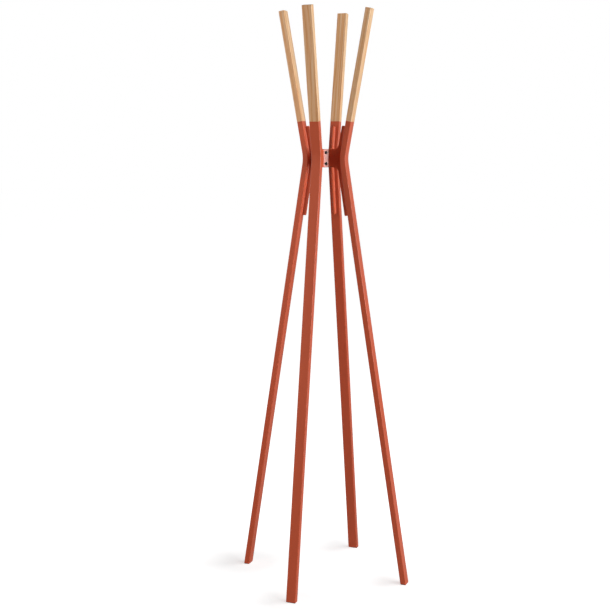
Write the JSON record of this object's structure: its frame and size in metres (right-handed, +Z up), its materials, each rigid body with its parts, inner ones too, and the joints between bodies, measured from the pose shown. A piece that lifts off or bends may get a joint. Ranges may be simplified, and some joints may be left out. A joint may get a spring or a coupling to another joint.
{
  "type": "standing coat rack",
  "caption": "Free-standing coat rack of bent flat steel legs that cross in at a screwed waist bracket and end in wood tips to hang coats on.",
  "frame": {"origin": "on the floor, on the centre line between the four legs", "axes": "+Z up; the flats of the two waist brackets face -Y (front) and +Y (back), and the legs stand on the four diagonals"},
  "size_m": [0.4206, 0.4064, 1.78],
  "materials": {
    "powder_steel": "satin brick-red powder coat with a fine orange-peel texture",
    "tip_wood": "clear satin lacquer on pale straight-grained ash",
    "plug_plastic": "matt moulded nylon",
    "screw_black": "black oxide steel, slightly oiled",
    "zinc": "bright zinc plate"
  },
  "bodies": {
    "root": {"leg_front_left": "powder_steel", "leg_front_right": "powder_steel", "leg_back_right": "powder_steel", "leg_back_left": "powder_steel", "wood_tip_front_left": "tip_wood", "wood_tip_front_right": "tip_wood", "wood_tip_back_right": "tip_wood", "wood_tip_back_left": "tip_wood", "foot_plug_front_left": "plug_plastic", "foot_plug_front_right": "plug_plastic", "foot_plug_back_right": "plug_plastic", "foot_plug_back_left": "plug_plastic", "waist_bracket_front": "powder_steel", "waist_bracket_back": "powder_steel", "bracket_screw_upper": "screw_black", "bracket_screw_lower": "screw_black", "rivet_nut_upper": "zinc", "rivet_nut_lower": "zinc"}
  },
  "joints": []
}
